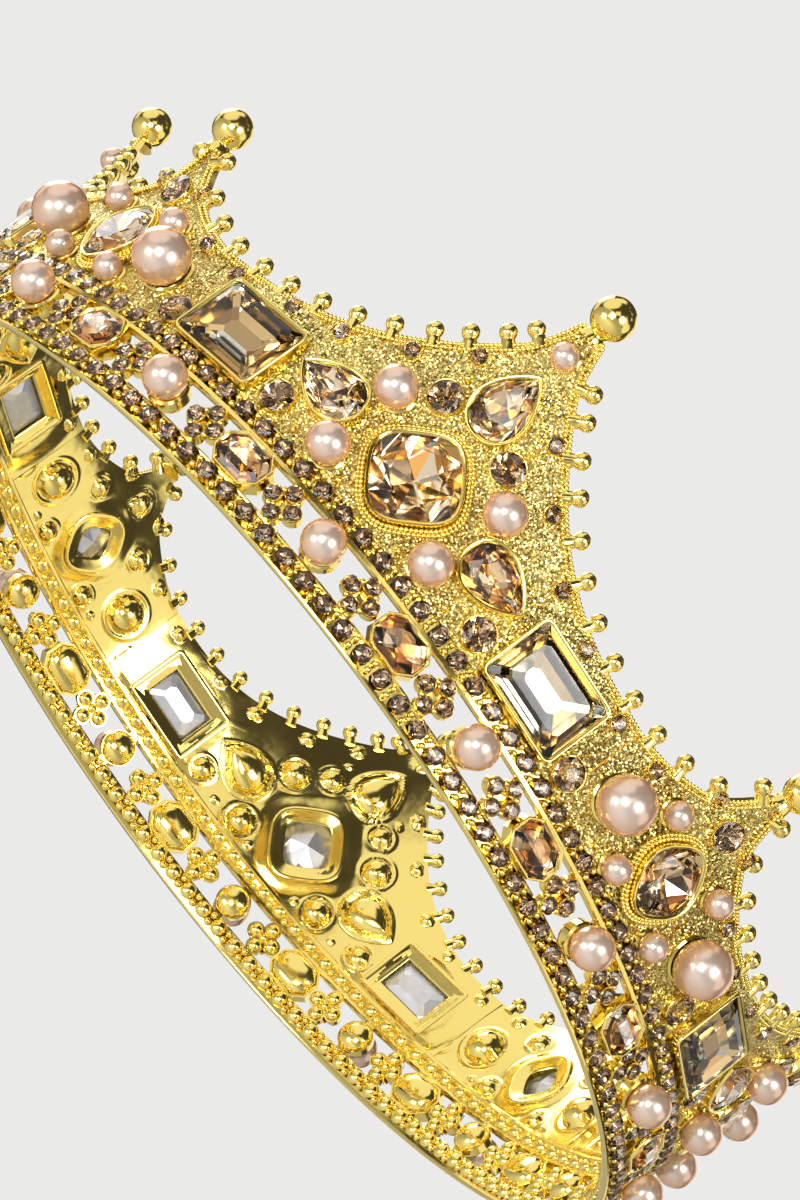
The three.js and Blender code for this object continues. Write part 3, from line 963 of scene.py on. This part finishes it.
# ---- Pearls ----
# Imitation pearls: glass beads with a pink-cream lacquer, flattened at the back and glued in cups
# on the band and the plates.
nacre, shader, new, link = new_finish("pearl_nacre")
# Painted reflection: towards its rim each pearl turns orange, a painted reflection of the gold round it.
edge, painted_light_tint = new("ShaderNodeLayerWeight"), new("ShaderNodeMix")
preset(edge, {"Blend": 0.46})
painted_light_tint.data_type = "RGBA"
preset(painted_light_tint, {"A": (0.67, 0.545, 0.47, 1), "B": (1.0, 0.45, 0.12, 1)})
wire(link, (edge, "Facing", painted_light_tint, "Factor"), (painted_light_tint, "Result", shader, "Base Color"))
link(spread(new, link, mottle(new, link, 500), (0, 1), (0.22, 0.29)), shader.inputs["Roughness"])
preset(shader, {"Metallic": 0.6, "Coat Weight": 1, "Coat Roughness": 0.06})

flat_back = 0.75  # from a pearl's middle to its back, as a share of its radius
pearl = Workpiece()
pearl.add(lathe([(0, -flat_back)] + ball_profile(1, 0, -math.asin(flat_back), 14), 28))
pearl_mesh = pearl.mesh("pearl", [], 60)


def seated(frame, r):
    """Where a pearl of that radius sits over its cup."""
    return (frame @ Matrix.Translation((0, 0, 0.45 + r * flat_back)), r)


(side_away, side_z, side_r), *low_pearls = plate_pearls["low"]
*tall_pearls, tip = plate_pearls["tall"]
named_pearls = {
    "left_pearl": ("low", -side_away, side_z, side_r),
    "right_pearl": ("low", side_away, side_z, side_r),
    "tip_pearl": ("tall", *tip),
}
for name, (kind, d, z, r) in named_pearls.items():
    made = set_all(pearl_mesh, [seated(on_plate(kind, d, z), r)], nacre)
    show_quarters(name.replace("pearl", "nacre"), made, "pearl", name)
small_pearls = [seated(on_wall(i * 4 * pitch, gallery_mid), pearl_r) for i in range(4)]
for kind, places in (("tall", tall_pearls), ("low", low_pearls)):
    small_pearls += [seated(on_plate(kind, d, z), r) for d, z, r in mirrored(places)]
show("small_pearls", set_all(pearl_mesh, all_round(small_pearls), nacre), "pearl")

# ---- Crystals ----
# Foil-backed lead crystal: clear faceted fronts in champagne, held by their collars. The pointed
# backs are foiled, and a silver lacquer covers the foil. Each foiled facet is painted one colour,
# from white to dark brown: painted glints and painted dark reflections.


def crystal(name, colour):
    made, shader, new, link = new_finish(name)
    preset(shader, {"Base Color": colour, "Transmission Weight": 1, "IOR": 1.45})
    link(spread(new, link, mottle(new, link, 300), (0, 1), (0.0, 0.02)), shader.inputs["Roughness"])
    return made


champagne = crystal("champagne_crystal", (0.98, 0.83, 0.62, 1))
smoke = crystal("smoky_crystal", (0.84, 0.70, 0.56, 1))
foil, shader, new, link = new_finish("silver_foil")
preset(shader, {"Metallic": 1})
# The foil's colour is each facet's painted light: painted glints and painted dark reflections.
painted_light_node = new("ShaderNodeAttribute")
painted_light_node.attribute_name = "painted_light"
wire(link, (painted_light_node, "Color", shader, "Base Color"))
link(spread(new, link, mottle(new, link, 900), (0, 1), (0.05, 0.13)), shader.inputs["Roughness"])

# Painted light for the foiled facets: white and pale blue colours are painted glints and reflections of the
# lamps, peach and orange ones painted warm reflections, brown and olive ones painted dark reflections.
mixed_painted_lights = [
    (0.98, 0.60, 0.25), (1.0, 0.97, 0.94), (0.95, 0.70, 0.30), (0.45, 0.23, 0.08),
    (1.0, 0.97, 0.94), (1.0, 0.82, 0.62), (0.36, 0.28, 0.10),
]
step_painted_lights = [
    (0.84, 0.92, 1.0), (1.0, 0.98, 0.95), (0.72, 0.50, 0.26), (1.0, 0.82, 0.48), (0.44, 0.35, 0.20),
    (0.84, 0.92, 1.0),
]
octagon_painted_lights = [(1.0, 0.97, 0.94), (0.98, 0.62, 0.30), (1.0, 0.84, 0.66), (0.72, 0.40, 0.18)]
ray_painted_lights = [
    (0.28, 0.21, 0.15), (1.0, 0.93, 0.84), (0.52, 0.40, 0.28), (1.0, 0.88, 0.74), (0.18, 0.13, 0.09),
]


def facets(rings):
    """Corners and faces through rings of points from the top down, and the ring over each face.
    Neighbouring rings have as many points, or one has twice as many as the other."""
    corners, faces, levels, starts = [], [], [], []
    for ring in rings:
        starts.append(len(corners))
        corners += ring
    for i in range(len(rings) - 1):
        a, b = starts[i], starts[i + 1]
        n, m = len(rings[i]), len(rings[i + 1])
        for j in range(max(n, m)):
            if n == m:
                k = (j + 1) % n
                made = [(a + j, b + j, b + k, a + k)]
            elif m == 1:
                made = [(a + j, b, a + (j + 1) % n)]
            elif m == 2 * n:
                if j % 2:
                    k = (j // 2 + 1) % n
                    made = [(a + k, a + j // 2, b + j), (a + k, b + j, b + (j + 1) % m)]
                else:
                    made = [(a + j // 2, b + j, b + j + 1)]
            else:
                if j % 2:
                    k = (j // 2 + 1) % m
                    made = [(a + j, b + j // 2, b + k), (a + j, b + k, a + (j + 1) % n)]
                else:
                    made = [(a + j, b + j // 2, a + j + 1)]
            faces += made
            levels += [i] * len(made)
    if len(rings[-1]) > 1:
        faces.append(tuple(starts[-1] + j for j in range(len(rings[-1])))[::-1])
        levels.append(len(rings) - 1)
    return corners, faces, levels


rim_ring = 3  # the gem's widest ring, from which its back is foiled


def gem_mesh(name, rings, painted_lights):
    """A gem through rings listed from its table down; each foiled facet is painted one of the given
    colours, which paint glints and dark reflections.
    """
    corners, faces, levels = facets(rings)
    faces.append(tuple(range(len(rings[0]))))
    gem = Workpiece()
    gem.add((corners, faces))
    made = gem.mesh(name, [], 1)
    made.polygons.foreach_set("use_smooth", [False] * len(faces))
    flags = made.attributes.new("foiled", "BOOLEAN", "FACE")
    flags.data.foreach_set("value", [level >= rim_ring for level in levels] + [False])
    # Painted light: each facet gets one of the colours at random, painting a glint or a dark reflection.
    pick = np.random.default_rng(len(name)).integers(len(painted_lights), size=len(faces))
    painted_light = made.attributes.new("painted_light", "FLOAT_COLOR", "FACE")
    painted_light.data.foreach_set("color", [part for i in pick for part in (*painted_lights[i], 1)])
    return made


def lacquer_shell(rings, gap=0.04, thick=0.1):
    """A thin closed coat behind the foiled facets."""
    corners, faces, _ = facets(rings[rim_ring:])
    n, rim = len(corners), len(rings[rim_ring])
    inner = [(x, y, h - gap) for x, y, h in corners]
    outer = [(x, y, h - gap - thick) for x, y, h in corners]
    shell = [tuple(n + i for i in face) for face in faces] + [face[::-1] for face in faces]
    shell += [(j, n + j, n + (j + 1) % rim, (j + 1) % rim) for j in range(rim)]
    return inner + outer, shell


def ring_of(outline, count, share, height, shift=0.0):
    """Points of a scaled outline, evenly spaced in its own numbering."""
    n = len(outline)
    points = []
    for j in range(count):
        at = (j + shift) * n / count
        i, part = int(at) % n, at - int(at)
        x = outline[i][0] * (1 - part) + outline[(i + 1) % n][0] * part
        y = outline[i][1] * (1 - part) + outline[(i + 1) % n][1] * part
        points.append((x * share, y * share, height))
    return points


def starred(outline, count, shares, heights):
    """A ring that swings between two reaches, which cuts the back into long and short kites."""
    points = []
    for j, (x, y, _) in enumerate(ring_of(outline, count, 1, 0, 0.5)):
        points.append((x * shares[j % 2], y * shares[j % 2], heights[j % 2]))
    return points


def brilliant(outline, crown, pavilion, table=0.58):
    return [
        ring_of(outline, 8, table, crown, 0.0),
        ring_of(outline, 8, (1 + table) / 2 + 0.03, crown * 0.52, 0.5),
        ring_of(outline, 16, 1, 0.08),
        ring_of(outline, 16, 1, -0.08),
        starred(outline, 8, (0.74, 0.46), (-pavilion * 0.22, -pavilion * 0.72)),
        [(0, 0, -pavilion)],
    ]


def step_cut(width, height, crown, pavilion, corner=0.7):
    levels = (
        (1.9, crown), (0.95, crown * 0.66), (0, 0.08), (0, -0.08),
        (1.1, -pavilion * 0.42), (2.5, -pavilion * 0.8), (height / 2 - 1.2, -pavilion),
    )
    rings = []
    for shrink, h in levels:
        outline = cut_outline(width - 2 * shrink, height - 2 * shrink, corner)
        rings.append([(x, y, h) for x, y in outline])
    return rings


def radiant(crown, pavilion, table, rays=16):
    """A round stone whose foiled back is cut into alternating long and short rays."""
    circle = round_outline(1, 2 * rays)
    star = starred(circle, rays, (0.66, 0.42), (-pavilion * 0.4, -pavilion * 0.6))
    return [
        ring_of(circle, 8, table, crown), ring_of(circle, 8, (1 + table) / 2, crown * 0.6, 0.5),
        ring_of(circle, rays, 1, 0.06), ring_of(circle, rays, 1, -0.06), star,
        ring_of(circle, rays, 0.1, -pavilion),
    ]


lacquer, shader, new, link = new_finish("silver_lacquer")
preset(shader, {"Metallic": 0.8, "Roughness": 0.34})
silver = new("ShaderNodeMix")
silver.data_type = "RGBA"
preset(silver, {"A": (0.55, 0.55, 0.58, 1), "B": (0.80, 0.80, 0.82, 1)})
link(mottle(new, link, 700), silver.inputs["Factor"])
wire(link, (silver, "Result", shader, "Base Color"))

rim = lip - 0.42  # height of a large stone's rim over the wall
backs = Workpiece()
for stone in large_stones:
    if stone["outline"] is step:
        rings, painted_lights = step_cut(step_w, step_h, 1.3, 2.6), step_painted_lights
    else:
        rings, painted_lights = brilliant(stone["outline"], 1.25, 2.5), mixed_painted_lights
    spot = on_plate(stone["plate"], stone["away"], stone["z"], stone["turn"], rim)
    name = stone["node"].replace("stone", "crystal")
    gem = set_all(gem_mesh(name, rings, painted_lights), [(spot, 1)], champagne, foil)
    show_quarters(name, gem, "champagne_crystal", stone["node"])
    backs.add(lacquer_shell(rings), spot)
show_quarters("stone_backs", backs.mesh("stone_backs", [lacquer], 1), "champagne_crystal")

octagon_places = [(on_wall((4 * i + 2) * pitch, gallery_mid, 0, octagon_lip - 0.4), 1) for i in range(4)]
octagon_rings = step_cut(octagon_w, octagon_h, 0.95, 1.9, octagon_corner)
octagon_gem = gem_mesh("octagon_crystal", octagon_rings, octagon_painted_lights)
octagons = set_all(octagon_gem, all_round(octagon_places), champagne, foil)
show("octagon_crystals", octagons, "champagne_crystal")

# ---- Rhinestones ----
# Small smoky round brilliants: in the troughs of both rails, held by claws cast between them, in
# the clusters and on the plates, with larger ones in collars on the plates.
chaton = gem_mesh("chaton", radiant(0.36, 0.6, 0.5, 8), ray_painted_lights)
rail_stone_r = 1.3
claw_r = 0.46
chaton_places, claw_places, round_places = [], [], []
for row in (low_row, high_row):
    for i, along in enumerate(rail_stones):
        chaton_places.append((on_wall(along, row, 0.4 * i, 0.9), rail_stone_r))
        for side in (-1, 1):
            claw_places.append((on_wall(along + rail_pitch / 2, row + side * 0.62, 0, 0.55), 1))
for i in range(1, motifs_per_quarter, 2):
    spot = on_wall(i * pitch, gallery_mid, 0, cluster_lip + 0.12)
    chaton_places += [(on_lobe(spot, lobe), cluster_stone_r) for lobe in range(4)]
for kind in points_of_crown:
    for d, z, r in mirrored(plate_chips[kind]):
        chaton_places.append((on_plate(kind, d, z, d, 0.5), r * 1.05))
    for d, z, r in mirrored(plate_rounds[kind]):
        round_places.append((on_plate(kind, d, z, d, 0.85), r))
show("rhinestones", set_all(chaton, all_round(chaton_places), smoke, foil), "champagne_crystal")

round_gem = gem_mesh("round_crystal", radiant(0.34, 0.55, 0.4), ray_painted_lights)
show("round_crystals", set_all(round_gem, all_round(round_places), smoke, foil), "champagne_crystal")

claw = Workpiece()
claw.add(lathe([(0, -0.4), (claw_r, -0.4)] + ball_profile(claw_r, 0, 0, 3), 8))
show("rail_claws", set_all(claw.mesh("claw", [], 60), all_round(claw_places), polished), "gold")
